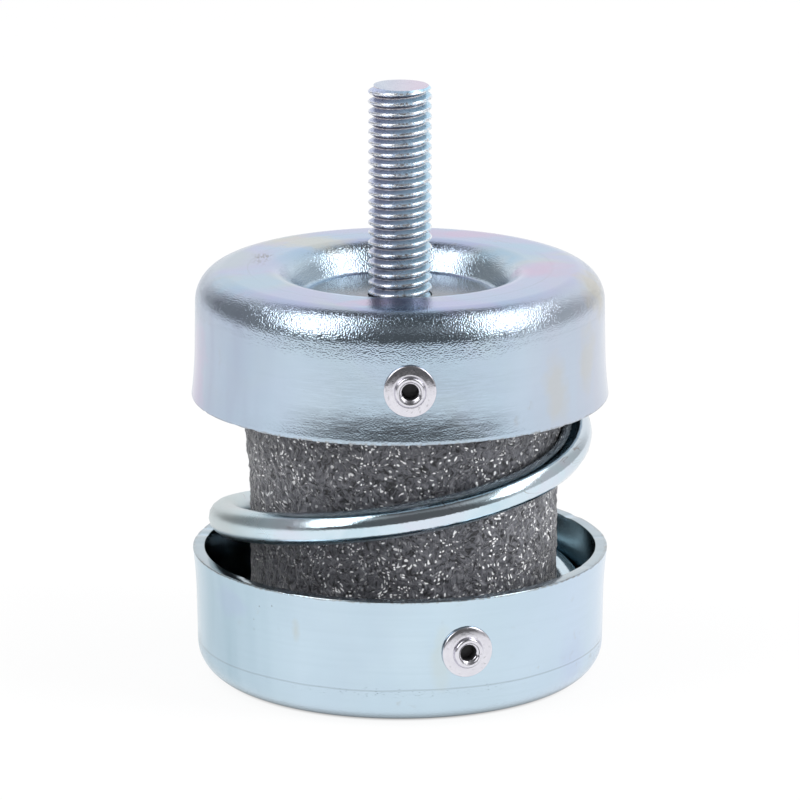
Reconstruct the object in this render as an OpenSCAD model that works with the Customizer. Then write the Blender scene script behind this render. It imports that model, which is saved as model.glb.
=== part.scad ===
// Spring vibration isolator: two pressed steel cups, a coil spring between them,
// a foam core, a threaded stud on top and blind rivets that hold the spring ends.
// Millimetres, +Z up, origin at the centre of the underside, front towards -Y.

/* [Cups] */
// outer diameter at the open rim
cup_rim_d = 51.2; // [48:0.1:60]
// height of one cup
cup_h = 15.8; // [15:0.1:17]
// thickness of the sheet
sheet_t = 1.45; // [1.2:0.05:1.7]
// outer radius of the drawn corner
cup_corner_r = 4.0; // [3.8:0.1:4.4]
// draft of the wall in degrees
wall_draft = 1.0; // [0.5:0.1:3]
// height of the stretch that flares out to the rim
flare_h = 6; // [3:0.5:6]
// bend of the flare over its height in degrees
flare_bend = 6.5; // [2:0.5:9]
// open gap between the two rims, unloaded
rim_gap = 19.3; // [14:0.1:26]

/* [Dimple] */
// diameter where the flat ring turns down into the dimple
dimple_lip_d = 32.8; // [30:0.1:34]
// depth of the dimple
dimple_depth = 3.4; // [3.2:0.1:4]
// rounding of the dimple at the flat ring
dimple_lip_r = 4.2; // [3.6:0.1:4.4]
// rounding of the dimple at its floor
dimple_floor_r = 0.8; // [0.5:0.1:1.1]
// steepest slope of the dimple wall in degrees
dimple_slope = 58; // [54:1:60]

/* [Spring] */
// diameter of the spring wire
wire_d = 4.0; // [3.6:0.1:4.1]
// clearance between the open coils and the mouth of a cup
coil_mouth_gap = 0.5; // [0.5:0.05:1.2]
// clearance between an end coil and the cup floor it lies on
coil_seat_gap = 0.1; // [0.1:0.05:0.3]
// turns of the open coils from end coil to end coil
open_turns = 2.0; // [1.9:0.02:2.1]
// stretch of a turn in which an end coil bends flat
coil_bend_turns = 0.15; // [0.12:0.01:0.2]
// gap between the tip of an end coil and the next coil
coil_tip_gap = 0.6; // [0.4:0.1:1.5]
// angle of the middle of the coil from the front, to the right
coil_turn = 11; // [6:1:14]

/* [Foam core] */
// clearance between the foam and the inside of the end coils
foam_coil_gap = 0.3; // [0.3:0.05:2]
// clearance between the foam bore and the corners of bolt head and nut
foam_bore_gap = 0.7; // [0.4:0.1:1.5]

/* [Stud and nut] */
// thread diameter of the stud and of the base nut
thread_d = 8; // [8:0.1:8.4]
// how far the rolled crests of the stud stay under the thread diameter, on each side
crest_cut = 0.1; // [0.02:0.01:0.12]
// bore diameter of the base nut before the thread
nut_bore_d = 6.65; // [6.4:0.05:6.8]
// length of the stud above the dimple floor
stud_out = 26; // [18:0.5:40]
// chamfer at the tip of the stud
stud_chamfer = 0.5; // [0.4:0.1:1.2]
// width across the flats of bolt head and nut
hex_w = 13; // [12.5:0.1:13.5]
// height of the bolt head
head_h = 5.3; // [4:0.1:6.5]
// height of the base nut
nut_h = 6.5; // [5:0.1:8]
// depth of the plain neck under the thread
neck_cut = 0.45; // [0.3:0.05:0.6]
// clearance of the thread in the hole of the upper cup, on each side
stud_gap = 0.1; // [0.05:0.01:0.2]
// clearance of a screw in the hole of the lower cup, on each side
screw_gap = 0.5; // [0.2:0.1:1]

/* [Rivets] */
// diameter of the rivet shank
rivet_d = 3.2; // [3:0.1:3.3]
// diameter of the rivet head
rivet_head_d = 6.3; // [5.6:0.1:7]
// height of the rivet head
rivet_head_h = 1.0; // [0.8:0.05:1.4]
// bore of the rivet
rivet_bore_d = 1.9; // [1.7:0.05:2.1]
// diameter of the upset end inside the cup
rivet_bulb_d = 4.0; // [3.8:0.1:4.2]
// reach of the upset end from the outside of the cup
rivet_reach = 4.2; // [3.6:0.1:4.5]
// clearance between the upset end and the coil that it holds
rivet_coil_gap = 0.9; // [0.2:0.05:1.2]
// angle of the upper rivet from the front, to the right
upper_rivet_turn = 2.7; // [-10:0.1:15]
// angle of the lower rivet from the front, to the right
lower_rivet_turn = 18.6; // [5:0.1:25]
// clearance of the shank in its hole and of the mandrel in the shank
rivet_gap = 0.05; // [0.03:0.01:0.1]

/* [Hidden] */
eps = 0.01;
arc_steps = 10;
rim_r = cup_rim_d / 2;
flare_r = flare_h / (sin(wall_draft + flare_bend) - sin(wall_draft));
flare_out = flare_r * (cos(wall_draft) - cos(wall_draft + flare_bend));
straight_h = cup_h - flare_h - cup_corner_r * (1 - sin(wall_draft));
corner_cx = rim_r - flare_out - straight_h * tan(wall_draft) - cup_corner_r * cos(wall_draft);
flare_cx = rim_r - flare_out + flare_r * cos(wall_draft);
flare_cz = cup_h - flare_h - flare_r * sin(wall_draft);
corner_in_r = cup_corner_r - sheet_t;
upper_rim_z = cup_h + rim_gap;
upper_top_z = upper_rim_z + cup_h;
lip_r = dimple_lip_d / 2;
slope_rise = dimple_depth - (dimple_lip_r + dimple_floor_r) * (1 - cos(dimple_slope));
slope_run = slope_rise / tan(dimple_slope);
floor_r = lip_r - (dimple_lip_r + dimple_floor_r) * sin(dimple_slope) - slope_run;
lower_seat_z = dimple_depth + sheet_t;
upper_seat_z = upper_top_z - lower_seat_z;
stud_tip_z = upper_top_z - dimple_depth + stud_out;
crest_d = thread_d - 2 * crest_cut;
neck_d = thread_d - 2 * neck_cut;
stud_hole_d = thread_d + 2 * stud_gap;
screw_hole_d = thread_d + 2 * screw_gap;
hex_d = hex_w / cos(30);
mouth_r = rim_r - sheet_t / cos(wall_draft + flare_bend);
coil_r = mouth_r - coil_mouth_gap - wire_d / 2;
corner_room = corner_in_r - wire_d / 2;
coil_end_r = corner_cx + 0.8 * sqrt(coil_seat_gap * (2 * corner_room - coil_seat_gap));
coil_mid_z = upper_top_z / 2;
coil_half = coil_mid_z - sheet_t - coil_seat_gap - wire_d / 2;
coil_pitch = 2 * coil_half / open_turns;
coil_straight = open_turns / 2 - coil_bend_turns / 2;
coil_flat = coil_straight + coil_bend_turns;
coil_turns = 1 + (coil_half - wire_d - coil_tip_gap) / coil_pitch;
wire_sides = 16;
rings_per_turn = 44;
foam_r = coil_end_r - wire_d / 2 - foam_coil_gap;
foam_bore_r = hex_d / 2 + foam_bore_gap;
lower_rivet_u = 1 - (lower_rivet_turn - coil_turn) / 360;
upper_rivet_u = 1 + (upper_rivet_turn - coil_turn) / 360;
coil_lift = coil_half - min(half_rise(lower_rivet_u), half_rise(upper_rivet_u));
coil_top_h = sheet_t + coil_seat_gap + wire_d + coil_lift;
rivet_h = coil_top_h + rivet_coil_gap + rivet_bulb_d / 2;
rivet_blind_gap = 0.15;
rivet_wall_r = corner_cx + cup_corner_r * cos(wall_draft)
    + (rivet_h - cup_corner_r * (1 - sin(wall_draft))) * tan(wall_draft);
mandrel_r = rivet_bore_d / 2 - rivet_gap;
steel = [0.78, 0.82, 0.87];
wire = [0.70, 0.75, 0.80];
foam = [0.25, 0.26, 0.27];
bolt = [0.45, 0.48, 0.55];
alu = [0.85, 0.85, 0.90];
dark = [0.30, 0.30, 0.32];

// points of a circle arc from angle a to angle b
function arc(cx, cy, r, a, b) =
    [for (i = [0:arc_steps]) let (w = a + (b - a) * i / arc_steps) [cx + r * cos(w), cy + r * sin(w)]];

// one face of the sheet from the hole to the rim: off is 0 outside and sheet_t inside
function cup_face(hole_r, off) = concat(
    [[hole_r, dimple_depth + off]],
    arc(floor_r, dimple_depth - dimple_floor_r, dimple_floor_r + off, 90, 90 - dimple_slope),
    arc(lip_r, dimple_lip_r, dimple_lip_r - off, 270 - dimple_slope, 270),
    arc(corner_cx, cup_corner_r, cup_corner_r - off, -90, -wall_draft),
    arc(flare_cx, flare_cz, flare_r + off,
        180 - wall_draft, 180 - asin((cup_h - flare_cz) / (flare_r + off)))
);

function backwards(list) = [for (i = [len(list) - 1:-1:0]) list[i]];

module cup_shell(hole_d) {
    rotate_extrude($fn = 96)
        polygon(concat(cup_face(hole_d / 2, 0), backwards(cup_face(hole_d / 2, sheet_t))));
}

// puts a piece drawn along +Z on the outside of the lower cup's wall, square to it
module on_wall(turn) {
    rotate([0, 0, turn - 90])
        translate([rivet_wall_r, 0, rivet_h])
            rotate([0, 90 + wall_draft, 0])
                children();
}

// a piece of the lower cup turned over into the upper cup
module turned_over() {
    translate([0, 0, upper_top_z])
        rotate([0, 180, 0])
            children();
}

module rivet_hole() {
    translate([0, 0, -3 * sheet_t])
        cylinder(h = 5 * sheet_t, d = rivet_d + 2 * rivet_gap, $fn = 48);
}

// lower cup: hole for a screw in the dimple, two rivet holes
module lower_cup() {
    color(steel)
    difference() {
        cup_shell(screw_hole_d);
        on_wall(lower_rivet_turn)
            rivet_hole();
        on_wall(lower_rivet_turn + 180)
            rivet_hole();
    }
}

// upper cup: the same pressing with a closer hole for the stud
module upper_cup() {
    color(steel)
    turned_over()
        difference() {
            cup_shell(stud_hole_d);
            on_wall(-upper_rivet_turn)
                rivet_hole();
            on_wall(180 - upper_rivet_turn)
                rivet_hole();
        }
}

// height of the wire's middle, u turns from the middle of the coil
function bend_rise(v) = coil_pitch * (v - v * v / (2 * coil_bend_turns));
function half_rise(u) = u < coil_straight ? coil_pitch * u
    : u < coil_flat ? coil_pitch * coil_straight + bend_rise(u - coil_straight) : coil_half;
function coil_z(u) = coil_mid_z + sign(u) * half_rise(abs(u));

// radius of the wire's middle: an end coil is closer, and the coil widens up to the mouth of its cup
function coil_open(u) = min(1, (coil_half - half_rise(abs(u))) / (cup_h - cup_corner_r));
function coil_wide(u) = coil_end_r + (coil_r - coil_end_r) * coil_open(u);

// coil: a ring of points round the wire at each step, joined into one skin
module coil_spring() {
    rings = ceil(2 * coil_turns * rings_per_turn);
    points = [
        for (i = [0:rings], k = [0:wire_sides - 1])
            let (
                u = -coil_turns + 2 * coil_turns * i / rings,
                a = coil_turn - 90 + 360 * u,
                b = 360 * k / wire_sides,
                lean = atan((coil_z(u + 0.01) - coil_z(u - 0.01)) / (0.02 * 2 * PI * coil_r)),
                side = wire_d / 2 * cos(b),
                up = wire_d / 2 * sin(b),
                r = coil_wide(u) + side
            )
            [
                r * cos(a) + up * sin(lean) * sin(a),
                r * sin(a) - up * sin(lean) * cos(a),
                coil_z(u) + up * cos(lean)
            ]
    ];
    skin = [
        for (i = [0:rings - 1], k = [0:wire_sides - 1])
            let (
                n = (k + 1) % wire_sides,
                p = i * wire_sides,
                q = p + wire_sides
            )
            [p + k, p + n, q + n, q + k]
    ];
    first = [for (k = [wire_sides - 1:-1:0]) k];
    last = [for (k = [0:wire_sides - 1]) rings * wire_sides + k];
    color(wire)
        polyhedron(points, concat(skin, [first, last]), convexity = 10);
}

// foam: a sleeve between the two dimples, its bore clear of the bolt head and nut
module foam_core() {
    color(foam)
    translate([0, 0, lower_seat_z])
        difference() {
            cylinder(h = upper_seat_z - lower_seat_z, r = foam_r, $fn = 96);
            translate([0, 0, -1])
                cylinder(h = upper_seat_z - lower_seat_z + 2, r = foam_bore_r, $fn = 64);
        }
}

// bolt: hexagon head under the dimple floor, plain neck in the sheet, shaft to the crests of the thread
module stud_bolt() {
    neck_h = sheet_t + 0.5;
    head_tip_r = hex_w * 0.475;
    color(bolt)
    translate([0, 0, upper_seat_z]) {
        translate([0, 0, -head_h])
            intersection() {
                cylinder(h = head_h, d = hex_d, $fn = 6);
                cylinder(h = head_h, r1 = head_tip_r, r2 = head_tip_r + head_h * tan(60), $fn = 64);
            }
        translate([0, 0, -eps])
            cylinder(h = neck_h + 2 * eps, d = neck_d, $fn = 64);
        translate([0, 0, neck_h])
            cylinder(h = stud_tip_z - upper_seat_z - neck_h - stud_chamfer, d = crest_d, $fn = 64);
        translate([0, 0, stud_tip_z - upper_seat_z - stud_chamfer - eps])
            cylinder(h = stud_chamfer + eps, d1 = crest_d, d2 = crest_d - 2 * stud_chamfer, $fn = 64);
    }
}

// nut: hexagon nut on the dimple of the lower cup, bore countersunk at both ends
module base_nut() {
    sink = (thread_d - nut_bore_d) / 2;
    color(bolt)
    translate([0, 0, lower_seat_z])
        difference() {
            cylinder(h = nut_h, d = hex_d, $fn = 6);
            translate([0, 0, -1])
                cylinder(h = nut_h + 2, d = nut_bore_d, $fn = 64);
            translate([0, 0, -eps])
                cylinder(h = sink + eps, d1 = thread_d, d2 = nut_bore_d, $fn = 64);
            translate([0, 0, nut_h - sink])
                cylinder(h = sink + eps, d1 = nut_bore_d, d2 = thread_d, $fn = 64);
        }
}

// rivet: domed head outside, shank through the sheet, upset end inside
module rivet() {
    head_r = rivet_head_d / 2;
    bore_r = rivet_bore_d / 2;
    edge_h = rivet_head_h * 0.35;
    crown_r = bore_r + 0.35;
    bulb_r = rivet_bulb_d / 2;
    blind_x = sheet_t + rivet_blind_gap;
    dome = [
        for (i = [0:arc_steps])
            let (w = 90 * i / arc_steps)
            [crown_r + (head_r - crown_r) * cos(w), edge_h + (rivet_head_h - edge_h) * sin(w)]
    ];
    color(alu)
    rotate_extrude($fn = 64)
        polygon(concat(
            [[bore_r, -rivet_reach], [bulb_r * 0.82, -rivet_reach], [bulb_r, -rivet_reach + 0.5]],
            [[bulb_r, -blind_x], [rivet_d / 2, -blind_x], [rivet_d / 2, 0.02], [head_r, 0.02]],
            dome,
            [[bore_r, rivet_head_h - 0.15]]
        ));
}

// mandrel: broken stem inside the rivet, its head at the blind end
module mandrel() {
    color(dark) {
        translate([0, 0, -rivet_reach - eps])
            cylinder(h = rivet_reach - 0.6, r = mandrel_r, $fn = 48);
        translate([0, 0, -rivet_reach - 0.9])
            cylinder(h = 0.9, r1 = mandrel_r, r2 = rivet_bulb_d * 0.38, $fn = 48);
    }
}

module rivet_upper_front() {
    turned_over()
        on_wall(-upper_rivet_turn)
            rivet();
}

module rivet_upper_rear() {
    turned_over()
        on_wall(180 - upper_rivet_turn)
            rivet();
}

module rivet_lower_front() {
    on_wall(lower_rivet_turn)
        rivet();
}

module rivet_lower_rear() {
    on_wall(lower_rivet_turn + 180)
        rivet();
}

module mandrel_upper_front() {
    turned_over()
        on_wall(-upper_rivet_turn)
            mandrel();
}

module mandrel_upper_rear() {
    turned_over()
        on_wall(180 - upper_rivet_turn)
            mandrel();
}

module mandrel_lower_front() {
    on_wall(lower_rivet_turn)
        mandrel();
}

module mandrel_lower_rear() {
    on_wall(lower_rivet_turn + 180)
        mandrel();
}

lower_cup();
upper_cup();
coil_spring();
foam_core();
stud_bolt();
base_nut();
rivet_upper_front();
rivet_upper_rear();
rivet_lower_front();
rivet_lower_rear();
mandrel_upper_front();
mandrel_upper_rear();
mandrel_lower_front();
mandrel_lower_rear();
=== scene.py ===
from math import asin, cos, pi, radians, sin, sqrt, tan

import bpy
import numpy as np
from mathutils import Matrix, Vector


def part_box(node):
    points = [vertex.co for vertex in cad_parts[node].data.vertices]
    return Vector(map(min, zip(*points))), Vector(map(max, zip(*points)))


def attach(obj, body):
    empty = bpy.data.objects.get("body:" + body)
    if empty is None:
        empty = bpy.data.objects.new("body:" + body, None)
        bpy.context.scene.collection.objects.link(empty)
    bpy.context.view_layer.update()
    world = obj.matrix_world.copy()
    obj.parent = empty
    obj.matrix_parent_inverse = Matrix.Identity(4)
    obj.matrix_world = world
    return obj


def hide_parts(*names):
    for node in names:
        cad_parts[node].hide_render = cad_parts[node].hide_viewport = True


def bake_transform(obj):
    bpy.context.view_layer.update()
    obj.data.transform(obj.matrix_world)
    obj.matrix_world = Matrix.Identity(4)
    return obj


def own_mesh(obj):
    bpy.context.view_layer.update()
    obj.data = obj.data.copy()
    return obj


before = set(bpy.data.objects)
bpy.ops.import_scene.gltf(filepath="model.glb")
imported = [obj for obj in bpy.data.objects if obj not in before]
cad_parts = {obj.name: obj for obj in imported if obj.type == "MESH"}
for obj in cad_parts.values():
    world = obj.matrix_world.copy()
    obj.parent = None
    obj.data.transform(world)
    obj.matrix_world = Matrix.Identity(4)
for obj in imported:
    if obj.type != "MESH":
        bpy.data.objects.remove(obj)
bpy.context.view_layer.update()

MM = 0.001

# Sizes of the pressing, in millimetres
SHEET = 1.45
CORNER_R = 4.0
WALL_DRAFT = radians(1.0)
FLARE_H = 6.0
FLARE_BEND = radians(6.5)
DIMPLE_LIP_R = 16.4
DIMPLE_DEPTH = 3.4
LIP_ROUND = 4.2
FLOOR_ROUND = 0.8
DIMPLE_SLOPE = radians(58)
RIM_ROUND = 0.14
RIM_BREAK = 0.1
RIM_NICKS = 26
RIM_NICK_H = 0.6
LOWER_HOLE_R = 4.5
UPPER_HOLE_R = 3.95

# Sizes of the coil, in millimetres and turns
WIRE_R = 2.0
COIL_SEAT_GAP = 0.1
COIL_SEAT_SHARE = 0.8
OPEN_TURNS = 2.0
COIL_BEND = 0.15
COIL_TIP_GAP = 0.6
COIL_TURN = radians(11)
RINGS_PER_TURN = 72

# Sizes of the foam sleeve, in millimetres: it is swollen towards its top and sits to the right
FOAM_BORE_R = 8.2
FOAM_EDGE = 0.8
FOAM_ROWS = 130
FOAM_SWELL = 0.80
FOAM_SWELL_Z = 20
FOAM_SWELL_H = 16
FOAM_SHRINK = 0.05
FOAM_SHIFT = 0.45
FOAM_TOP_SHIFT = 0.05

# Sizes of the stud, in millimetres: THREAD_ROWS is per pitch, CREST_START and CREST_DROP are shares
THREAD_R = 3.9
THREAD_ROOT_R = 3.12
THREAD_PITCH = 1.25
THREAD_ROWS = 22
ROOT_HALF = 0.05
FLANK_RUN = 0.50
CREST_START = 0.75
CREST_DROP = 0.09
GROOVE_Z = 49.03
TIP_FACE_R = 3.5
HEAD_GAP = 0.15
HEAD_EDGE = 0.35

# Sizes of the rivets, in millimetres and degrees
RIVET_HEAD_R = 3.15
RIVET_HEAD_H = 1.0
RIVET_BORE_R = 0.95
RIVET_SHANK_R = 1.6
RIVET_HOLE_R = 1.64
RIVET_TAIL_Z = -4.1
UPPER_RIVET_TURN = 2.7
LOWER_RIVET_TURN = 18.6


def box_of(node):
    """Lowest and highest corner of a CAD node, in millimetres."""
    return [Vector(corner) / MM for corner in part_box(node)]


# Sizes that the frame gives, in millimetres
lower_low, lower_high = box_of("lower_cup")
foam_low, foam_high = box_of("foam_core")
coil_low, coil_high = box_of("coil_spring")
stud_low, stud_high = box_of("stud_bolt")
CUP_RIM_R = (lower_high.x - lower_low.x) / 2
CUP_H = lower_high.z - lower_low.z
TOP_Z = box_of("upper_cup")[1].z
COIL_R = (coil_high.x - coil_low.x) / 2 - WIRE_R
FOAM_R = (foam_high.x - foam_low.x) / 2
STUD_TIP_Z = stud_high.z
RIVET_HEIGHT = (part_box("rivet_lower_front")[0][2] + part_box("rivet_lower_front")[1][2]) / 2 / MM

# Centres of the cup's round corner and of its flare, worked out from the sizes above
FLARE_R = FLARE_H / (sin(WALL_DRAFT + FLARE_BEND) - sin(WALL_DRAFT))
FLARE_OUT = FLARE_R * (cos(WALL_DRAFT) - cos(WALL_DRAFT + FLARE_BEND))
STRAIGHT_H = CUP_H - FLARE_H - CORNER_R * (1 - sin(WALL_DRAFT))
CORNER_X = CUP_RIM_R - FLARE_OUT - STRAIGHT_H * tan(WALL_DRAFT) - CORNER_R * cos(WALL_DRAFT)
FLARE_X = CUP_RIM_R - FLARE_OUT + FLARE_R * cos(WALL_DRAFT)
FLARE_Z = CUP_H - FLARE_H - FLARE_R * sin(WALL_DRAFT)


# Helpers for modelling by hand

def put_down_everything():
    """Leaves edit mode and lets go of every piece."""
    if bpy.context.object and bpy.context.object.mode != "OBJECT":
        bpy.ops.object.mode_set(mode="OBJECT")
    bpy.ops.object.select_all(action="DESELECT")


def take_up(piece):
    """Makes a piece the only one in hand."""
    put_down_everything()
    piece.select_set(True)
    bpy.context.view_layer.objects.active = piece


def arc(cx, cz, r, start, end, steps):
    """Points of a circle arc in the x-z plane, angles in radians."""
    return [
        (cx + r * cos(start + (end - start) * i / steps), cz + r * sin(start + (end - start) * i / steps))
        for i in range(steps + 1)
    ]


def draw_outline(name, outline):
    """A plane merged to one point, which is pulled from place to place along an outline in x and z."""
    put_down_everything()
    bpy.ops.mesh.primitive_plane_add(size=MM)
    piece = bpy.context.object
    piece.name = name
    bpy.ops.object.mode_set(mode="EDIT")
    bpy.ops.mesh.select_all(action="SELECT")
    bpy.ops.mesh.merge(type="CENTER")
    here = Vector((outline[0][0], 0, outline[0][1])) * MM
    bpy.ops.transform.translate(value=here)
    for x, z in outline[1:]:
        there = Vector((x, 0, z)) * MM
        bpy.ops.mesh.extrude_region_move(TRANSFORM_OT_translate={"value": there - here})
        here = there
    bpy.ops.mesh.select_all(action="SELECT")
    bpy.ops.mesh.remove_doubles(threshold=1e-7)
    return piece


def turn_on_lathe(name, outline, steps, smooth):
    """A piece turned about the upright axis from its outline."""
    piece = draw_outline(name, outline)
    bpy.ops.mesh.spin(steps=steps, angle=2 * pi, center=(0, 0, 0), axis=(0, 0, 1))
    bpy.ops.mesh.select_all(action="SELECT")
    bpy.ops.mesh.remove_doubles(threshold=1e-7)
    bpy.ops.mesh.normals_make_consistent(inside=False)
    bpy.ops.object.mode_set(mode="OBJECT")
    smooth_piece(piece, smooth)
    return piece


def smooth_piece(piece, angle):
    """Smooth shading, with edges kept where faces meet at more than an angle in degrees."""
    take_up(piece)
    bpy.ops.object.shade_smooth_by_angle(angle=radians(angle))


def place(piece, matrix):
    """Moves the mesh itself, so that the object stays at the origin."""
    piece.data.transform(matrix)
    piece.data.update()


def copy_of(piece, name):
    take_up(piece)
    bpy.ops.object.duplicate()
    twin = bpy.context.object
    twin.name = name
    twin.data.name = name
    return twin


def apply_all(piece):
    take_up(piece)
    for modifier in list(piece.modifiers):
        bpy.ops.object.modifier_apply(modifier=modifier.name)


def points_of(piece):
    flat = np.empty(len(piece.data.vertices) * 3)
    piece.data.vertices.foreach_get("co", flat)
    return flat.reshape(-1, 3)


def set_points(piece, points):
    piece.data.vertices.foreach_set("co", points.astype(np.float32).ravel())
    piece.data.update()


# Helpers for materials

class Nodes:
    """Small helpers to put shader nodes into a tree."""

    def __init__(self, tree):
        self.tree = tree

    def node(self, kind, inputs=None, **settings):
        made = self.tree.nodes.new(kind)
        for key, value in settings.items():
            setattr(made, key, value)
        for key, value in (inputs or {}).items():
            self.feed(made.inputs[key], value)
        return made

    def feed(self, socket, value):
        if isinstance(value, bpy.types.NodeSocket):
            self.tree.links.new(value, socket)
        else:
            socket.default_value = value

    def ramp(self, value, *stops):
        made = self.node("ShaderNodeValToRGB", {"Fac": value})
        band = made.color_ramp
        while len(band.elements) < len(stops):
            band.elements.new(0.5)
        for element, (position, colour) in zip(band.elements, stops):
            element.position = position
            element.color = (*colour, 1)
        return made.outputs["Color"]

    def fade(self, value, low, high, start=0.0, end=1.0):
        made = self.node("ShaderNodeMapRange", {
            "Value": value, "From Min": low, "From Max": high, "To Min": start, "To Max": end,
        })
        return made.outputs["Result"]

    def math(self, how, a, b=0.0):
        made = self.node("ShaderNodeMath", operation=how)
        self.feed(made.inputs[0], a)
        self.feed(made.inputs[1], b)
        return made.outputs[0]

    def mix(self, share, a, b):
        made = self.node("ShaderNodeMix", data_type="RGBA")
        self.feed(made.inputs["Factor"], share)
        self.feed(made.inputs["A"], (*a, 1) if isinstance(a, tuple) else a)
        self.feed(made.inputs["B"], (*b, 1) if isinstance(b, tuple) else b)
        return made.outputs["Result"]

    def axis(self, source, name):
        return self.node("ShaderNodeSeparateXYZ", {"Vector": source}).outputs[name]


class Finish(Nodes):
    """A procedural material on Object coordinates."""

    def __init__(self, name):
        self.material = bpy.data.materials.new(name)
        self.material.use_nodes = True
        super().__init__(self.material.node_tree)
        self.shader = self.tree.nodes["Principled BSDF"]
        self.place = self.node("ShaderNodeTexCoord").outputs["Object"]

    def noise(self, scale, detail=3.0, rough=0.55, at=None, warp=0.0):
        made = self.node("ShaderNodeTexNoise", {
            "Vector": at or self.place, "Scale": scale, "Detail": detail,
            "Roughness": rough, "Distortion": warp,
        })
        return made.outputs["Fac"]

    def cells(self, scale, at=None, output="Distance"):
        return self.node("ShaderNodeTexVoronoi", {"Vector": at or self.place, "Scale": scale}).outputs[output]

    def stretched(self, scale, at=None):
        return self.node("ShaderNodeMapping", {"Vector": at or self.place, "Scale": scale}).outputs["Vector"]

    def normal(self):
        return self.node("ShaderNodeNewGeometry").outputs["Normal"]

    def radius(self):
        """Distance from the upright axis."""
        flat = self.stretched((1, 1, 0))
        return self.node("ShaderNodeVectorMath", {0: flat}, operation="LENGTH").outputs["Value"]

    def line(self, value, at, width):
        """A thin line where the value passes a place, fading over its width."""
        return self.fade(self.math("ABSOLUTE", self.math("SUBTRACT", value, at)), 0, width, 1, 0)

    def bump(self, height, depth_mm, strength, under=None):
        made = self.node("ShaderNodeBump", {"Height": height, "Distance": depth_mm * MM, "Strength": strength})
        if under is not None:
            self.feed(made.inputs["Normal"], under)
        return made.outputs["Normal"]

    def finish(self, **sockets):
        for key, value in sockets.items():
            self.feed(self.shader.inputs[key.replace("_", " ")], value)
        return self.material


# Bloom of the passivation on each cup: place and size in millimetres, colour and share
PINK, CREAM, LILAC, SKY = (0.57, 0.38, 0.57), (0.59, 0.55, 0.43), (0.42, 0.45, 0.71), (0.33, 0.52, 0.69)
UPPER_BLOOM = (
    ((17.5, -1.5, 50.9), (5.0, 5.0, 3), PINK, 0.6), ((23.2, -4.5, 49.5), (2.6, 6.0, 4), CREAM, 0.6),
    ((-11, 13.5, 50.9), (8.0, 4.0, 3), CREAM, 0.6), ((7.5, 18.0, 50.9), (7.0, 3.0, 3), PINK, 0.6),
    ((-3.0, -18.4, 50.9), (5.0, 2.5, 2), PINK, 0.6), ((5.0, -19.0, 50.9), (6.0, 2.5, 2), LILAC, 0.6),
    ((-17.5, -8.0, 50.9), (6.0, 7.0, 3), SKY, 0.6), ((15.0, 9.0, 50.9), (5.0, 6.0, 3), SKY, 0.6),
    ((18.8, -17.0, 39.0), (2.6, 3.0, 5), CREAM, 0.32), ((24.0, 0.0, 42.0), (3.0, 6.0, 6), LILAC, 0.32),
    ((22.6, -11.5, 42.0), (1.8, 4.0, 5), CREAM, 0.32), ((-24.8, -5.0, 39.0), (2.2, 6.0, 8), PINK, 0.32),
)
LOWER_BLOOM = (
    ((5.0, -24.5, 9.0), (1.5, 2.0, 5), (0.60, 0.66, 0.62), 0.35), ((-20.0, -15.0, 12.5), (4.0, 4.0, 2), LILAC, 0.18),
    ((-12.5, -21.5, 11.0), (0.7, 2.0, 2), (0.55, 0.56, 0.50), 0.45), ((21.0, -13.0, 5.0), (3.0, 4.0, 4), LILAC, 0.15),
)


def zinc_plate(name, pale, deep, tint_share, left, right, base_z, rim_z):
    """Blue-white passivated zinc on a cup, from its closed end at base_z to its rim at rim_z."""
    zinc = Finish(name)
    up = 1 if rim_z > base_z else -1
    height = zinc.math("MULTIPLY", zinc.math("SUBTRACT", zinc.axis(zinc.place, "Z"), base_z * MM), up)
    facing_up = zinc.fade(zinc.axis(zinc.normal(), "Z"), 0.74, 0.99)
    colour = zinc.mix(zinc.fade(zinc.noise(55, 3, 0.5, warp=0.6), 0.3, 0.7), deep, pale)
    colour = top_tints(zinc, colour, tint_share, facing_up)
    colour = side_tints(zinc, colour, left, right, facing_up)
    colour = wear(zinc, colour, facing_up)
    # Painted shade: a thin dark line where the corner runs into the wall.
    colour = painted_crease_shade(zinc, colour, height, 0.36 if up > 0 else 0.06)
    colour = heat_tints(zinc, colour, LOWER_BLOOM if up > 0 else UPPER_BLOOM)
    if up < 0:
        # Painted shade: the recessed floor of the dimple is darkened to a dull grey.
        dimple_floor_shade = zinc.fade(zinc.radius(), 0.0108, 0.0118, 0.8, 0.0)
        colour = zinc.mix(dimple_floor_shade, colour, (0.22, 0.225, 0.23))
        # Painted reflection: dark streaks on the front and back of the upper cup's wall.
        colour = painted_dark_reflection(zinc, colour, height)
        colour = scuff(zinc, colour)
    # Painted shade: the inside of the wall is darkened to a dull teal.
    colour = zinc.mix(painted_inner_shade(zinc), colour, (0.24, 0.33, 0.37))
    colour = sheared_rim(zinc, colour, zinc.math("SUBTRACT", abs(rim_z - base_z) * MM, height))
    rough = zinc.fade(zinc.noise(70, 4, 0.6), 0.25, 0.75, 0.12, 0.19)
    return zinc.finish(Base_Color=colour, Metallic=1.0, Roughness=rough, Normal=grain(zinc, height, facing_up))


def top_tints(zinc, colour, share, facing_up):
    """Clouds of blue, lilac and grey, strongest where the sheet faces up."""
    tints = zinc.ramp(
        zinc.noise(42, 2, 0.45, warp=1.4),
        (0.30, (0.33, 0.51, 0.69)), (0.42, (0.34, 0.47, 0.68)), (0.50, (0.40, 0.42, 0.66)),
        (0.58, (0.41, 0.48, 0.54)), (0.68, (0.33, 0.51, 0.69)),
    )
    return zinc.mix(zinc.fade(facing_up, 0, 1, share * 0.14, share), colour, tints)


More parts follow.
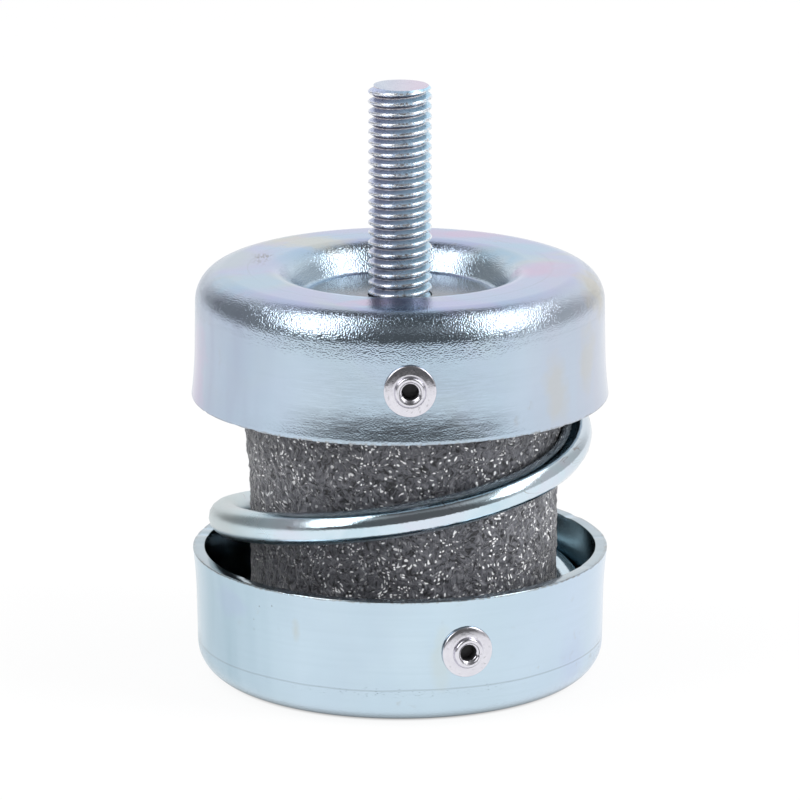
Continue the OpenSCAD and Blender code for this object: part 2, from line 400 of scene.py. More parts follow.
def side_tints(zinc, colour, left, right, facing_up):
    """Streaky tints on the left and right of a cup."""
    streaks = zinc.fade(zinc.noise(1, 2, 0.5, at=zinc.stretched((260, 260, 30))), 0.35, 0.65, 0.55, 0.95)
    streaks = zinc.math("MULTIPLY", streaks, zinc.fade(facing_up, 0, 1, 1.0, 0.3))
    for side, tint in ((-1, left), (1, right)):
        beside = zinc.fade(zinc.math("MULTIPLY", zinc.axis(zinc.place, "X"), side), 0.012, 0.021)
        colour = zinc.mix(zinc.math("MULTIPLY", beside, streaks), colour, tint)
    return colour


def wear(zinc, colour, facing_up):
    """Faint drawn lines, stains, dark specks and a ring-shaped mark on the closed end."""
    drawn = zinc.noise(1, 3, 0.6, at=zinc.stretched((60, 60, 1900)))
    colour = zinc.mix(zinc.fade(drawn, 0.42, 0.72, 0.0, 0.05), colour, (0.34, 0.42, 0.50))
    stains = zinc.math("MULTIPLY", zinc.fade(zinc.noise(420, 4, 0.7), 0.60, 0.74, 0.0, 0.5),
                       zinc.fade(zinc.noise(65), 0.52, 0.64))
    colour = zinc.mix(stains, colour, (0.42, 0.40, 0.36))
    specks = zinc.math("MULTIPLY", zinc.fade(zinc.cells(620), 0.04, 0.075, 0.6, 0.0),
                       zinc.fade(zinc.noise(90), 0.60, 0.70))
    colour = zinc.mix(specks, colour, (0.16, 0.14, 0.12))
    ring = zinc.math("MULTIPLY", zinc.line(zinc.radius(), 0.0186, 0.00012), zinc.math("MULTIPLY", facing_up, 0.4))
    return zinc.mix(ring, colour, (0.30, 0.36, 0.44))


def painted_crease_shade(zinc, colour, height, share):
    """Painted shade of a slight step: a thin dark line where the round corner runs into the wall."""
    line_at = zinc.fade(zinc.noise(60, 2), 0.3, 0.7, 0.0044, 0.0047)
    away = zinc.math("ABSOLUTE", zinc.math("SUBTRACT", height, line_at))
    return zinc.mix(zinc.fade(away, 0, 0.00016, share, 0.0), colour, (0.22, 0.24, 0.26))


def sheared_rim(zinc, colour, to_rim):
    """Grey cut face of the sheet and a ragged brown line round its outer edge."""
    cut_face = zinc.fade(to_rim, 0.00004, 0.00012, 1.0, 0.0)
    colour = zinc.mix(zinc.math("MULTIPLY", cut_face, 0.7), colour, (0.36, 0.43, 0.47))
    ragged = zinc.math("ADD", to_rim, zinc.fade(zinc.noise(900, 3), 0.3, 0.7, -0.0001, 0.0001))
    edge = zinc.fade(zinc.radius(), (CUP_RIM_R - 0.5) * MM, (CUP_RIM_R - 0.2) * MM)
    sheared = zinc.math("MULTIPLY", zinc.line(ragged, 0.0001, 0.0002), zinc.fade(zinc.noise(2100, 2), 0.36, 0.6))
    sheared = zinc.math("MULTIPLY", sheared, edge)
    return zinc.mix(zinc.math("MULTIPLY", sheared, 0.7), colour, (0.30, 0.27, 0.24))


def grain(zinc, height, facing_up):
    """Orange-peel grain, strongest on the round corner, fine drawn lines on the wall and slow waves all over."""
    walls = zinc.fade(height, 0.0042, 0.0062)
    corner = zinc.math("MULTIPLY", zinc.fade(walls, 0, 1, 1.0, 0.16), zinc.fade(facing_up, 0.5, 1.0, 1.0, 0.14))
    normal = zinc.bump(zinc.noise(5600, 0, 0.5), 0.050, corner)
    normal = zinc.bump(zinc.noise(1, 3, 0.6, at=zinc.stretched((330, 330, 2500))), 0.004, walls, normal)
    return zinc.bump(zinc.noise(130, 2), 0.08, 0.5, normal)


def painted_inner_shade(zinc):
    """One on the inside of the wall, where the sheet faces the axis, and zero elsewhere: where the painted shade
    inside the cup goes.
    """
    flat = zinc.stretched((1, 1, 0))
    outward = zinc.node("ShaderNodeVectorMath", {0: zinc.normal(), 1: flat}, operation="DOT_PRODUCT").outputs["Value"]
    return zinc.math("MULTIPLY", zinc.fade(outward, -0.012, -0.002, 1.0, 0.0), zinc.fade(zinc.radius(), 0.018, 0.020))


def soft_spot(zinc, place_mm, size_mm):
    """A cloudy patch round a place, fading out at its size."""
    away = zinc.node("ShaderNodeVectorMath", {0: zinc.place, 1: Vector(place_mm) * MM}, operation="SUBTRACT")
    scaled = zinc.stretched(tuple(1 / (size * MM) for size in size_mm), away.outputs["Vector"])
    far = zinc.node("ShaderNodeVectorMath", {0: scaled}, operation="LENGTH").outputs["Value"]
    ragged = zinc.math("ADD", far, zinc.fade(zinc.noise(260, 3, 0.6), 0.3, 0.7, -0.35, 0.35))
    return zinc.fade(ragged, 0.35, 1.0, 1.0, 0.0)


def heat_tints(zinc, colour, blooms):
    """The soft coloured blooms of the passivation, one after the other."""
    for place_mm, size_mm, tint, share in blooms:
        colour = zinc.mix(zinc.math("MULTIPLY", soft_spot(zinc, place_mm, size_mm), share), colour, tint)
    return colour


def painted_dark_reflection(zinc, colour, height):
    """Painted reflection of something dark in front of the cup: dark streaks near the rim, front and back, and a
    faint darkening higher on the wall.
    """
    band = zinc.math("MULTIPLY", zinc.fade(height, 0.0114, 0.0134), zinc.fade(height, 0.0142, 0.0149, 1.0, 0.0))
    middle = zinc.fade(zinc.math("ABSOLUTE", zinc.axis(zinc.place, "X")), 0.006, 0.0145, 1.0, 0.0)
    streak = zinc.fade(zinc.noise(1, 4, 0.7, at=zinc.stretched((380, 380, 4200))), 0.38, 0.58, 0.15, 1.0)
    patch = zinc.math("MULTIPLY", zinc.math("MULTIPLY", band, middle), streak)
    colour = zinc.mix(zinc.math("MULTIPLY", patch, 0.85), colour, (0.10, 0.115, 0.135))
    reflected_haze = zinc.math("MULTIPLY", zinc.fade(height, 0.0055, 0.0085, 0.0, 0.3), middle)
    return zinc.mix(zinc.math("MULTIPLY", reflected_haze, streak), colour, (0.30, 0.35, 0.40))


def scuff(zinc, colour):
    """A small patch of scratches on the flat ring."""
    near = soft_spot(zinc, (-17.0, 4.6, 50.9), (1.6, 4.2, 3))
    marks = zinc.fade(zinc.noise(1, 3, 0.7, at=zinc.stretched((2400, 700, 700))), 0.46, 0.56)
    return zinc.mix(zinc.math("MULTIPLY", near, zinc.math("MULTIPLY", marks, 0.75)), colour, (0.16, 0.16, 0.17))


def spring_zinc():
    """Zinc on drawn wire: fine grain, brown scratches along the wire and cloudy blue."""
    zinc = Finish("spring_zinc")
    cloud = zinc.noise(120, 3, 0.5, warp=0.8)
    colour = zinc.ramp(
        cloud, (0.30, (0.56, 0.73, 0.82)), (0.50, (0.66, 0.79, 0.87)), (0.70, (0.70, 0.75, 0.85)),
    )
    sideways = zinc.axis(zinc.place, "X")
    colour = zinc.mix(zinc.fade(sideways, -0.016, -0.021, 0.0, 0.8), colour, (0.50, 0.56, 0.56))
    colour = zinc.mix(zinc.fade(sideways, 0.018, 0.023, 0.0, 0.7), colour, (0.58, 0.65, 0.72))
    scratch = zinc.noise(1, 2, 0.5, at=zinc.stretched((90, 90, 520)), warp=1.2)
    thin = zinc.math("MULTIPLY", zinc.line(scratch, 0.5, 0.012), zinc.fade(zinc.noise(170), 0.52, 0.6, 0.0, 0.75))
    colour = zinc.mix(thin, colour, (0.34, 0.30, 0.28))
    specks = zinc.math("MULTIPLY", zinc.fade(zinc.cells(900), 0.05, 0.08, 0.7, 0.0),
                       zinc.fade(zinc.noise(140), 0.52, 0.62))
    colour = zinc.mix(specks, colour, (0.15, 0.15, 0.15))
    normal = zinc.bump(zinc.noise(4800, 2, 0.6), 0.012, 1.0)
    normal = zinc.bump(zinc.noise(420, 2), 0.05, 0.5, normal)
    rough = zinc.fade(zinc.noise(160, 3), 0.3, 0.7, 0.08, 0.15)
    rough = zinc.math("ADD", rough, zinc.fade(sideways, -0.006, -0.022, 0.0, 0.22))
    return zinc.finish(Base_Color=colour, Metallic=1.0, Roughness=rough, Normal=normal)


def stud_steel():
    """Zinc on a rolled thread: cream roots, lilac to teal flanks, painted shade on the faces that look down, crests
    rubbed bright.
    """
    steel = Finish("stud_steel")
    sideways = steel.axis(steel.place, "X")
    cloud = steel.noise(500, 3, 0.55, warp=1.0)
    lilac = steel.mix(cloud, (0.35, 0.42, 0.62), (0.51, 0.56, 0.76))
    teal = steel.mix(cloud, (0.35, 0.58, 0.76), (0.49, 0.72, 0.88))
    flank = steel.mix(steel.fade(sideways, -0.0025, 0.002), lilac, teal)
    rise = steel.axis(steel.normal(), "Z")
    tip = steel.fade(rise, 0.95, 0.98)
    # Painted shade: faces that look down are coloured near black.
    colour = steel.mix(steel.fade(rise, -0.5, -0.2), (0.05, 0.05, 0.09), flank)
    root = steel.math("MULTIPLY", steel.fade(steel.radius(), 0.00313, 0.00319, 0.7, 0.0),
                      steel.fade(tip, 0, 1, 1.0, 0.0))
    colour = steel.mix(root, colour, (0.68, 0.59, 0.56))
    worn = steel.math("MULTIPLY", steel.fade(steel.radius(), 0.00366, 0.00380),
                      steel.fade(steel.noise(2600, 3, 0.6), 0.38, 0.54, 0.12, 1.0))
    worn = steel.math("MULTIPLY", worn, steel.fade(tip, 0, 1, 1.0, 0.0))
    colour = steel.mix(worn, colour, (0.93, 0.94, 0.96))
    face = steel.mix(steel.fade(sideways, -0.002, 0.002), (0.50, 0.57, 0.70), (0.62, 0.54, 0.69))
    colour = steel.mix(tip, colour, face)
    grime = steel.math("MULTIPLY", steel.fade(steel.noise(2600, 3), 0.56, 0.70, 0.0, 0.5),
                       steel.fade(tip, 0, 1, 1.0, 0.2))
    colour = steel.mix(grime, colour, (0.10, 0.11, 0.15))
    metal = steel.fade(steel.math("MAXIMUM", worn, tip), 0, 1, 0.56, 1.0)
    normal = steel.bump(steel.noise(1, 3, 0.6, at=steel.stretched((3200, 3200, 6000))), 0.03, 0.7)
    rough = steel.fade(steel.noise(700, 3), 0.3, 0.7, 0.19, 0.30)
    return steel.finish(Base_Color=colour, Metallic=metal, Roughness=rough, Normal=normal)


def rivet_alloy():
    """Bright aluminium with fine heading marks and a few dents."""
    alloy = Finish("rivet_alloy")
    colour = alloy.mix(alloy.noise(900, 3), (0.70, 0.69, 0.76), (0.82, 0.81, 0.86))
    dirt = alloy.fade(alloy.noise(2600, 3), 0.60, 0.72, 0.0, 0.5)
    colour = alloy.mix(dirt, colour, (0.34, 0.34, 0.38))
    normal = alloy.bump(alloy.noise(4500, 3), 0.014, 0.5)
    normal = alloy.bump(alloy.noise(1100, 2), 0.04, 0.4, normal)
    rough = alloy.fade(alloy.noise(1600, 3), 0.3, 0.7, 0.14, 0.26)
    return alloy.finish(Base_Color=colour, Metallic=1.0, Roughness=rough, Normal=normal)


def broken_steel():
    """Rough dark end of a broken-off mandrel, darkened to near black as painted shade, and painted shade in the bore
    round it.
    """
    steel = Finish("broken_steel")
    colour = steel.mix(steel.noise(2500, 3), (0.008, 0.008, 0.009), (0.06, 0.06, 0.065))
    normal = steel.bump(steel.noise(3500, 4), 0.06, 0.8)
    return steel.finish(Base_Color=colour, Metallic=0.0, Roughness=0.62, Normal=normal)


def open_cell_foam():
    """Dark grey foam: wrinkled torn skin with painted shade in its pores and painted light on its ridges, and painted
    glints, small white flecks of cell wall.
    """
    foam = Finish("open_cell_foam")
    twist = foam.node("ShaderNodeTexNoise", {"Vector": foam.place, "Scale": 260, "Detail": 2}).outputs["Color"]
    shift = foam.node("ShaderNodeVectorMath", {0: twist, 1: (0.5, 0.5, 0.5)}, operation="SUBTRACT").outputs["Vector"]
    shift = foam.stretched((0.0028, 0.0028, 0.0028), shift)
    warped = foam.node("ShaderNodeVectorMath", {0: foam.place, 1: shift}, operation="ADD").outputs["Vector"]
    wrinkle = foam.noise(1650, 4, 0.62, at=warped, warp=0.9)
    cloud = foam.noise(150, 3, 0.6)
    colour = foam.mix(cloud, (0.078, 0.080, 0.092), (0.155, 0.158, 0.178))
    # Painted shade in the low parts of the wrinkles and painted light on their ridges.
    colour = foam.mix(foam.fade(wrinkle, 0.38, 0.52, 0.95, 0.0), colour, (0.016, 0.016, 0.018))
    colour = foam.mix(foam.fade(wrinkle, 0.56, 0.66, 0.0, 0.45), colour, (0.34, 0.34, 0.36))
    patches = foam.fade(foam.noise(170, 2), 0.36, 0.54)
    # Painted glints: small white flecks where cell walls would catch the light.
    painted_glints = 0.0
    for scale in ((3000, 3000, 1700), (1700, 1700, 3100), (2600, 2600, 2600)):
        across = foam.stretched(scale, warped)
        chosen = foam.fade(foam.axis(foam.cells(1, at=across, output="Color"), "X"), 0.86, 0.88)
        shape = foam.fade(foam.cells(1, at=across), 0.30, 0.42, 1.0, 0.0)
        painted_glints = foam.math("MAXIMUM", painted_glints, foam.math("MULTIPLY", chosen, shape))
    painted_glints = foam.math("MULTIPLY", painted_glints, patches)
    colour = foam.mix(painted_glints, colour, (0.97, 0.97, 0.98))
    normal = foam.bump(wrinkle, 0.34, 0.9)
    normal = foam.bump(foam.cells(1150, at=warped), 0.25, 0.6, normal)
    rough = foam.fade(painted_glints, 0, 1, 0.55, 0.25)
    return foam.finish(Base_Color=colour, Metallic=0.0, Roughness=rough, Normal=normal,
                       Sheen_Weight=0.8, Sheen_Roughness=0.3)


# The two cups

def cup_face(hole_r, off):
    """One face of the sheet from the hole to the rim: off is 0 outside and SHEET inside."""
    rise = DIMPLE_DEPTH - (LIP_ROUND + FLOOR_ROUND) * (1 - cos(DIMPLE_SLOPE))
    run = rise / tan(DIMPLE_SLOPE)
    floor_r = DIMPLE_LIP_R - (LIP_ROUND + FLOOR_ROUND) * sin(DIMPLE_SLOPE) - run
    edge = RIM_BREAK if off else RIM_ROUND
    rim_angle = asin((CUP_H - edge - FLARE_Z) / (FLARE_R + off))
    points = [(hole_r, DIMPLE_DEPTH + off)]
    points += arc(floor_r, DIMPLE_DEPTH - FLOOR_ROUND, FLOOR_ROUND + off, pi / 2, pi / 2 - DIMPLE_SLOPE, 10)
    points += arc(DIMPLE_LIP_R, LIP_ROUND, LIP_ROUND - off, 1.5 * pi - DIMPLE_SLOPE, 1.5 * pi, 18)
    points += arc(CORNER_X, CORNER_R, CORNER_R - off, -pi / 2, -WALL_DRAFT, 22)
    points += arc(FLARE_X, FLARE_Z, FLARE_R + off, pi - WALL_DRAFT, pi - rim_angle, 12)
    return points


def cup_outline(hole_r):
    """Closed outline of the sheet: its rim is rounded outside and just broken inside."""
    outside = cup_face(hole_r, 0)
    inside = cup_face(hole_r, SHEET)
    out_r, in_r = outside[-1][0], inside[-1][0]
    rim = arc(out_r - RIM_ROUND, CUP_H - RIM_ROUND, RIM_ROUND, 0, pi / 2, 8)[1:]
    rim += arc(in_r + RIM_BREAK, CUP_H - RIM_BREAK, RIM_BREAK, pi / 2, pi, 3)[:-1]
    loop = outside + rim + inside[::-1]
    return loop + [loop[0]]


def press_cup(name, hole_r, seed):
    """A cup off the lathe with small nicks in its sheared rim."""
    cup = turn_on_lathe(name, cup_outline(hole_r), 224, 50)
    points = points_of(cup) / MM
    angle = np.arctan2(points[:, 1], points[:, 0])
    near_rim = np.clip((points[:, 2] - (CUP_H - RIM_NICK_H)) / RIM_NICK_H, 0, 1)
    wave = 0.03 * np.sin(5 * angle + seed) + 0.02 * np.sin(17 * angle + 2 * seed)
    draw = np.random.default_rng(seed)
    for spot in draw.uniform(-pi, pi, RIM_NICKS):
        gap = np.abs((angle - spot + pi) % (2 * pi) - pi)
        wave -= draw.uniform(0.03, 0.12) * np.exp(-((gap / draw.uniform(0.008, 0.03)) ** 2))
    points[:, 2] += np.minimum(wave, 0) * near_rim
    set_points(cup, points * MM)
    return cup


TURN_OVER = Matrix.Translation((0, 0, TOP_Z * MM)) @ Matrix.Rotation(pi, 4, "Y")

lower_shell = press_cup("lower_cup_shell", LOWER_HOLE_R, 3)
upper_shell = press_cup("upper_cup_shell", UPPER_HOLE_R, 8)
place(upper_shell, TURN_OVER)
lower_shell.data.materials.append(
    zinc_plate("zinc_lower", (0.60, 0.74, 0.84), (0.54, 0.67, 0.77), 0.22,
               (0.40, 0.54, 0.63), (0.59, 0.71, 0.85), 0, CUP_H))
upper_shell.data.materials.append(
    zinc_plate("zinc_upper", (0.56, 0.68, 0.79), (0.48, 0.60, 0.70), 0.8,
               (0.41, 0.47, 0.59), (0.53, 0.57, 0.67), TOP_Z, TOP_Z - CUP_H))


# The coil

COIL_MID_Z = TOP_Z / 2
COIL_HALF = COIL_MID_Z - coil_low.z - WIRE_R
COIL_PITCH = 2 * COIL_HALF / OPEN_TURNS
COIL_STRAIGHT = OPEN_TURNS / 2 - COIL_BEND / 2
COIL_TURNS = 1 + (COIL_HALF - 2 * WIRE_R - COIL_TIP_GAP) / COIL_PITCH
COIL_CORNER_ROOM = CORNER_R - SHEET - WIRE_R
COIL_END_R = CORNER_X + COIL_SEAT_SHARE * sqrt(COIL_SEAT_GAP * (2 * COIL_CORNER_ROOM - COIL_SEAT_GAP))


def coil_rise(turns):
    """Height of the wire's middle over the middle of the coil, so many turns from it."""
    size = abs(turns)
    bend = min(max(size - COIL_STRAIGHT, 0), COIL_BEND)
    rise = COIL_PITCH * (min(size, COIL_STRAIGHT) + bend - bend * bend / (2 * COIL_BEND))
    return rise if turns > 0 else -rise


def coil_wide(turns):
    """Radius of the wire's middle: an end coil is closer, and the coil widens up to the mouth of its cup."""
    share = min(1, (COIL_HALF - abs(coil_rise(turns))) / (CUP_H - CORNER_R))
    return COIL_END_R + (COIL_R - COIL_END_R) * share


def wind_coil():
    """Round wire along the coil's route, from its lower tip to its upper one."""
    rings = int(2 * COIL_TURNS * RINGS_PER_TURN)
    route = bpy.data.curves.new("coil_route", "CURVE")
    route.dimensions = "3D"
    route.bevel_depth = WIRE_R * MM
    route.bevel_resolution = 6
    route.use_fill_caps = True
    line = route.splines.new("POLY")
    line.points.add(rings)
    for i, point in enumerate(line.points):
        turns = -COIL_TURNS + 2 * COIL_TURNS * i / rings
        angle = COIL_TURN - pi / 2 + 2 * pi * turns
        z = COIL_MID_Z + coil_rise(turns)
        radius = coil_wide(turns)
        point.co = (radius * MM * cos(angle), radius * MM * sin(angle), z * MM, 1)
    coil = bpy.data.objects.new("coil_wire", route)
    bpy.context.collection.objects.link(coil)
    take_up(coil)
    bpy.ops.object.convert(target="MESH")
    coil = bpy.context.object
    bpy.ops.object.mode_set(mode="EDIT")
    bpy.ops.mesh.select_all(action="SELECT")
    bpy.ops.mesh.remove_doubles(threshold=1e-7)
    bpy.ops.mesh.normals_make_consistent(inside=False)
    bpy.ops.object.mode_set(mode="OBJECT")
    smooth_piece(coil, 40)
    return coil


def wire_heights(coil):
    """For each point of the coil's skin, the height of the wire's middle beside it."""
    points = points_of(coil) / MM
    turns = np.linspace(-COIL_TURNS, COIL_TURNS, 1200)
    angle = COIL_TURN - pi / 2 + 2 * pi * turns
    radius = np.array([coil_wide(t) for t in turns])
    height = np.array([COIL_MID_Z + coil_rise(t) for t in turns])
    route = np.stack([radius * np.cos(angle), radius * np.sin(angle), height], axis=1)
    found = np.empty(len(points))
    for start in range(0, len(points), 500):
        part = points[start:start + 500]
        gaps = ((part[:, None, :] - route[None, :, :]) ** 2).sum(axis=2)
        found[start:start + 500] = height[gaps.argmin(axis=1)]
    return found


coil = wind_coil()
coil.data.materials.append(spring_zinc())


# The foam core

def cut_foam():
    """A sleeve with a torn, cellular skin."""
    side_r = FOAM_R - FOAM_EDGE
    low, high = foam_low.z + FOAM_EDGE, foam_high.z - FOAM_EDGE
    outline = [(FOAM_BORE_R, foam_low.z), (side_r, foam_low.z)]
    outline += arc(side_r, low, FOAM_EDGE, -pi / 2, 0, 5)
    outline += [(FOAM_R, low + (high - low) * i / FOAM_ROWS) for i in range(1, FOAM_ROWS)]
    outline += arc(side_r, high, FOAM_EDGE, 0, pi / 2, 5)
    outline += [(FOAM_BORE_R, foam_high.z), (FOAM_BORE_R, foam_low.z)]
    foam = turn_on_lathe("foam_sleeve", outline, 420, 60)
    cells = bpy.data.textures.new("foam_cells", "VORONOI")
    cells.noise_scale = 0.0009
    torn = bpy.data.textures.new("foam_torn", "CLOUDS")
    torn.noise_scale = 0.0035
    for texture, depth in ((cells, 0.42), (torn, 0.30)):
        swell = foam.modifiers.new(texture.name, "DISPLACE")
        swell.texture = texture
        swell.texture_coords = "LOCAL"
        swell.strength = depth * MM
        swell.mid_level = 0.75
    apply_all(foam)
    points = points_of(foam) / MM
    radius = np.hypot(points[:, 0], points[:, 1])
    skin = np.clip((radius - FOAM_BORE_R) / (FOAM_R - FOAM_BORE_R), 0, 1)
    upper = np.clip((points[:, 2] - FOAM_SWELL_Z) / FOAM_SWELL_H, 0, 1)
    upper = upper * upper * (3 - 2 * upper)
    points[:, :2] *= (1 + skin * (FOAM_SWELL * upper - FOAM_SHRINK) / radius)[:, None]
    points[:, 0] += skin * (FOAM_SHIFT + FOAM_TOP_SHIFT * upper)
    set_points(foam, points * MM)
    return foam


foam = cut_foam()
foam.data.materials.append(open_cell_foam())


# The stud

def roll_thread():
    """A turned bar whose skin is pressed into a helix: sharp roots, rounded crests, broken tip."""
    low = TOP_Z - DIMPLE_DEPTH - SHEET + HEAD_GAP
    rows = int((STUD_TIP_Z - low) / THREAD_PITCH * THREAD_ROWS)
    outline = [(0, low)]
    outline += [(THREAD_R, low + (STUD_TIP_Z - low) * i / rows) for i in range(rows + 1)]
    outline += [(TIP_FACE_R - 0.1, STUD_TIP_Z), (0, STUD_TIP_Z)]
    stud = turn_on_lathe("stud_thread", outline, 84, 40)
    points = points_of(stud) / MM
    angle = np.arctan2(points[:, 1], points[:, 0])
    turn = ((points[:, 2] - GROOVE_Z) / THREAD_PITCH - angle / (2 * pi)) % 1
    from_root = np.minimum(turn, 1 - turn) * THREAD_PITCH
    share = np.clip((from_root - ROOT_HALF) / FLANK_RUN, 0, 1)
    crest = np.clip((share - CREST_START) / (1 - CREST_START), 0, 1)
    share = share - CREST_DROP * crest * crest * (3 - 2 * crest)
    thread_r = THREAD_ROOT_R + (THREAD_R - THREAD_ROOT_R) * share / (1 - CREST_DROP)
    thread_r = np.minimum(thread_r, TIP_FACE_R + (STUD_TIP_Z - points[:, 2]))
    radius = np.hypot(points[:, 0], points[:, 1])
    new_r = np.where(radius > TIP_FACE_R, thread_r, np.minimum(radius, thread_r - 0.08))
    points[:, :2] *= np.where(radius > 1, new_r / np.maximum(radius, 1e-6), 1)[:, None]
    set_points(stud, points * MM)
    smooth_piece(stud, 40)
    return stud


def forge_head():
    """Hexagon head with rounded edges, inside the upper cup."""
    low = stud_low.z
    high = TOP_Z - DIMPLE_DEPTH - SHEET
    put_down_everything()
    bpy.ops.mesh.primitive_cylinder_add(
        vertices=6, radius=(stud_high.x - stud_low.x) / 2 * MM, depth=(high - low) * MM,
        location=(0, 0, (low + high) / 2 * MM), rotation=(0, 0, pi / 6),
    )
    head = bpy.context.object
    head.name = "stud_head"
    bpy.ops.object.transform_apply(location=True, rotation=True, scale=True)
    bevel = head.modifiers.new("edge", "BEVEL")
    bevel.width = HEAD_EDGE * MM
    bevel.segments = 3
    apply_all(head)
    smooth_piece(head, 30)
    return head


stud = roll_thread()
head = forge_head()
thread_finish = stud_steel()
stud.data.materials.append(thread_finish)
head.data.materials.append(thread_finish)


# The rivets

def rivet_outline():
    """Half outline of a set blind rivet, its head outwards along +Z and its seat at zero."""
    head, shank, bore = RIVET_HEAD_R, RIVET_SHANK_R, RIVET_BORE_R
    height, tail = RIVET_HEAD_H, RIVET_TAIL_Z
    points = [(bore, tail), (1.72, tail), (1.98, tail + 0.4), (1.98, -1.75), (1.9, -1.6)]
    points += [(shank, -1.6), (shank, 0.02)]
    points += [(head - 0.06, 0.02), (head, 0.08), (head, 0.24), (head - 0.05, 0.33), (head - 0.13, 0.38)]
    points += [(2.6, 0.46), (2.2, 0.53), (1.98, 0.56), (1.90, 0.54), (1.84, 0.49), (1.80, 0.52)]
    points += arc(1.58, height - 0.22, 0.22, 0, pi / 2, 6)
    points += arc(1.40, height - 0.12, 0.12, pi / 2, pi, 4)[1:]
    points += [(1.22, height - 0.20), (1.12, height - 0.24), (1.02, height - 0.32), (bore, height - 0.46)]
    points += [(bore, height - 1.2), (bore, tail)]
    return points


def wall_place(turn):
    """Where a rivet sits on the lower cup, square to its slanted wall."""
    wall_h = RIVET_HEIGHT - CORNER_R * (1 - sin(WALL_DRAFT))
    radius = CORNER_X + CORNER_R * cos(WALL_DRAFT) + wall_h * tan(WALL_DRAFT)
    spin = Matrix.Rotation(radians(turn - 90), 4, "Z")
    shift = Matrix.Translation((radius * MM, 0, RIVET_HEIGHT * MM))
    return spin @ shift @ Matrix.Rotation(pi / 2 + WALL_DRAFT, 4, "Y")


rivet_places = {
    "rivet_lower_front": wall_place(LOWER_RIVET_TURN),
    "rivet_lower_rear": wall_place(LOWER_RIVET_TURN + 180),
    "rivet_upper_front": TURN_OVER @ wall_place(-UPPER_RIVET_TURN),
    "rivet_upper_rear": TURN_OVER @ wall_place(180 - UPPER_RIVET_TURN),
}
first_rivet = turn_on_lathe("rivet_pattern", rivet_outline(), 72, 40)
first_rivet.data.materials.append(rivet_alloy())
mandrel_and_bore_shade = broken_steel()
first_rivet.data.materials.append(mandrel_and_bore_shade)
# Painted shade: the faces of the bore take the near-black finish.
for face in first_rivet.data.polygons:
    if Vector(face.center[:2]).length < (RIVET_BORE_R + 0.01) * MM:
        face.material_index = 1


def drill(cup, matrix):
    """A hole through the wall of a cup for the shank of a rivet."""
    put_down_everything()
    bpy.ops.mesh.primitive_cylinder_add(vertices=48, radius=RIVET_HOLE_R * MM, depth=8 * MM)
    bit = bpy.context.object
    place(bit, matrix)
    cut = cup.modifiers.new("hole", "BOOLEAN")
    cut.operation = "DIFFERENCE"
    cut.solver = "EXACT"
    cut.object = bit
    apply_all(cup)
    bpy.data.objects.remove(bit)


rivets = {}
for node, matrix in rivet_places.items():
    drill(upper_shell if "upper" in node else lower_shell, matrix)
    rivet = copy_of(first_rivet, node + "_body")
    place(rivet, matrix)
    rivets[node] = rivet
bpy.data.objects.remove(first_rivet)


# Finishes of the CAD nodes that stay

def refinish(node, material):
    node.data.materials.clear()
    node.data.materials.append(material)


# The mandrels take the near-black finish: dark steel with painted shade.
for name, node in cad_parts.items():
    if name.startswith("mandrel"):
        refinish(node, mandrel_and_bore_shade)
refinish(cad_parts["base_nut"], thread_finish)


# Which body each piece moves with

def settle(piece, body, slot, *nodes):
    """The body that a stiff piece rides on and the CAD nodes that it stands for, which are hidden; the slot argument
    is not used.
    """
    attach(piece, body)
    if nodes:
        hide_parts(*nodes)


settle(lower_shell, "base", "zinc_sheet", "lower_cup")
settle(upper_shell, "top", "zinc_sheet", "upper_cup")
settle(stud, "top", "bolt_steel", "stud_bolt")
settle(head, "top", "bolt_steel")
for node, rivet in rivets.items():
    settle(rivet, "top" if "upper" in node else "base", "rivet_alloy", node)

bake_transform(coil)
shares = np.clip((wire_heights(coil) - coil_low.z - WIRE_R) / (2 * COIL_HALF), 0, 1)
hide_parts("coil_spring")
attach(foam, "base")
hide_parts("foam_core")
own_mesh(foam)


# Floor, light and camera

def white_stage():
    """White paper under the isolator, darker below its foot, where a contact shadow is painted."""
    put_down_everything()
    bpy.ops.mesh.primitive_plane_add(size=8, location=(0, 3.55, 0))
    bpy.ops.object.transform_apply(location=True, rotation=True, scale=True)
    floor = bpy.context.object
    floor.name = "floor"
    look = bpy.data.materials.new("white_floor")
    look.use_nodes = True
    look.node_tree.nodes.clear()
    paper = Nodes(look.node_tree)
    path = paper.node("ShaderNodeLightPath").outputs
    mirrored = paper.math("MAXIMUM", path["Is Glossy Ray"], path["Is Transmission Ray"])
    share = paper.math("MULTIPLY", paper.math("MAXIMUM", path["Is Camera Ray"], mirrored), 0.9)
    matt = paper.node("ShaderNodeBsdfDiffuse", {"Color": (0.9, 0.9, 0.9, 1)})
    spot = paper.node("ShaderNodeTexCoord").outputs["Object"]
    away = paper.node("ShaderNodeVectorMath", {0: spot}, operation="LENGTH").outputs["Value"]
    # Painted shadow: the glow dims close to the foot, in a thin ring for the camera and a wider one for reflections.
    seen = paper.fade(away, 0.0213, 0.0226, 0.25, 1.0)
    deep = paper.fade(away, 0.0218, 0.0242, 0.12, 1.0)
    painted_contact_shadow = paper.math("MULTIPLY", paper.math("SUBTRACT", 1.0, path["Is Camera Ray"]), deep)
    painted_contact_shadow = paper.math("ADD", painted_contact_shadow, paper.math("MULTIPLY", path["Is Camera Ray"], seen))
    glow = paper.node("ShaderNodeEmission", {"Strength": painted_contact_shadow})
    both = paper.node("ShaderNodeMixShader", {0: share, 1: matt.outputs[0], 2: glow.outputs[0]})
    paper.node("ShaderNodeOutputMaterial", {"Surface": both.outputs[0]})
    floor.data.materials.append(look)


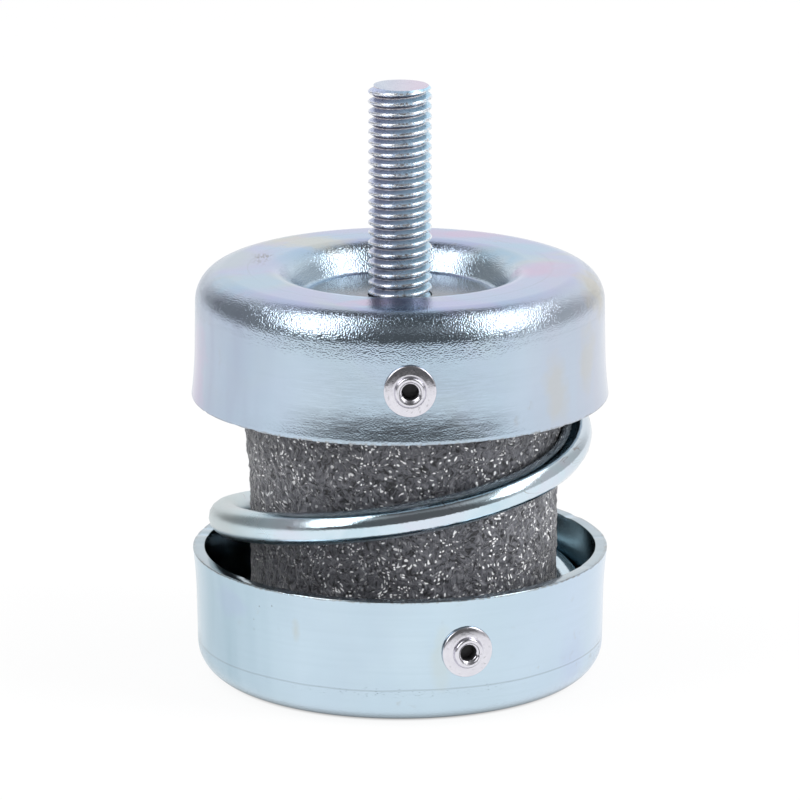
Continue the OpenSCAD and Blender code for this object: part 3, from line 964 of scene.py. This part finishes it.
def studio_dome():
    """White to the camera; reflections see a white horizon, a dim ceiling and the dim room behind the camera."""
    world = bpy.data.worlds.new("studio")
    bpy.context.scene.world = world
    world.use_nodes = True
    world.node_tree.nodes.clear()
    sky = Nodes(world.node_tree)
    way = sky.node("ShaderNodeTexCoord").outputs["Generated"]
    wall = sky.fade(sky.axis(way, "Z"), 0.68, 0.87, 1.0, 0.0)
    wall = sky.math("MULTIPLY", wall, sky.fade(sky.axis(way, "X"), -0.66, -0.42, 0.20, 1.0))
    wall = sky.math("MULTIPLY", wall, sky.fade(sky.axis(way, "X"), 0.50, 0.76, 1.0, 0.5))
    room = sky.fade(sky.axis(way, "Y"), -0.72, -0.36, 0.0, 1.0)
    seen = sky.fade(sky.math("MULTIPLY", wall, room), 0, 1, 0.11, 1.0)
    path = sky.node("ShaderNodeLightPath").outputs
    colour = sky.mix(path["Is Glossy Ray"], (0.62, 0.62, 0.63), seen)
    shown = sky.math("MAXIMUM", path["Is Camera Ray"], path["Is Transmission Ray"])
    colour = sky.mix(shown, colour, (1.0, 1.0, 1.0))
    back = sky.node("ShaderNodeBackground", {"Color": colour})
    sky.node("ShaderNodeOutputWorld", {"Surface": back.outputs[0]})


def softbox(name, start, end, reach, width, watts, mirrored=True):
    """A lamp that runs from one direction to another and faces the isolator."""
    put_down_everything()
    aim = Vector((0, 0, 0.04))
    first, last = Vector(start).normalized() * reach, Vector(end).normalized() * reach
    along, back = (last - first).normalized(), (first + last).normalized()
    bpy.ops.object.light_add(type="AREA", location=aim + (first + last) / 2)
    lamp = bpy.context.object
    lamp.name = name
    lamp.rotation_euler = Matrix((along, back.cross(along), back)).transposed().to_euler()
    lamp.data.shape = "RECTANGLE"
    lamp.data.size = (last - first).length
    lamp.data.size_y = width
    lamp.data.energy = watts
    lamp.visible_glossy = mirrored


def photo_camera():
    """Long lens at the photograph's height: pitch, distance and aim worked out from its ellipses."""
    pitch = radians(14.67)
    distance = 0.7368
    aim = Vector((0.0, 0, 0.0341))
    bpy.ops.object.camera_add()
    camera = bpy.context.object
    camera.location = aim + Vector((0, -cos(pitch), sin(pitch))) * distance
    camera.rotation_euler = (pi / 2 - pitch, 0, 0)
    camera.data.sensor_width = 36
    camera.data.lens = 270
    bpy.context.scene.camera = camera


white_stage()
studio_dome()
softbox("softbox_left", (-0.33, 0.14, 0.93), (-0.71, -0.63, 0.31), 1.25, 0.46, 6.2)
softbox("softbox_right", (0.38, 0.26, 0.88), (0.82, -0.48, 0.29), 1.25, 0.40, 5.1)
softbox("front_fill", (-0.55, -0.75, 0.40), (-0.05, -0.90, 0.40), 1.4, 0.5, 0.3, mirrored=False)
softbox("left_fill", (-0.95, 0.30, 0.33), (-0.95, -0.10, 0.33), 1.2, 0.5, 0.8, mirrored=False)
softbox("right_fill", (0.93, -0.12, 0.25), (0.85, -0.50, 0.25), 1.2, 0.5, 7.8, mirrored=False)
photo_camera()
bpy.context.scene.view_settings.view_transform = "Standard"
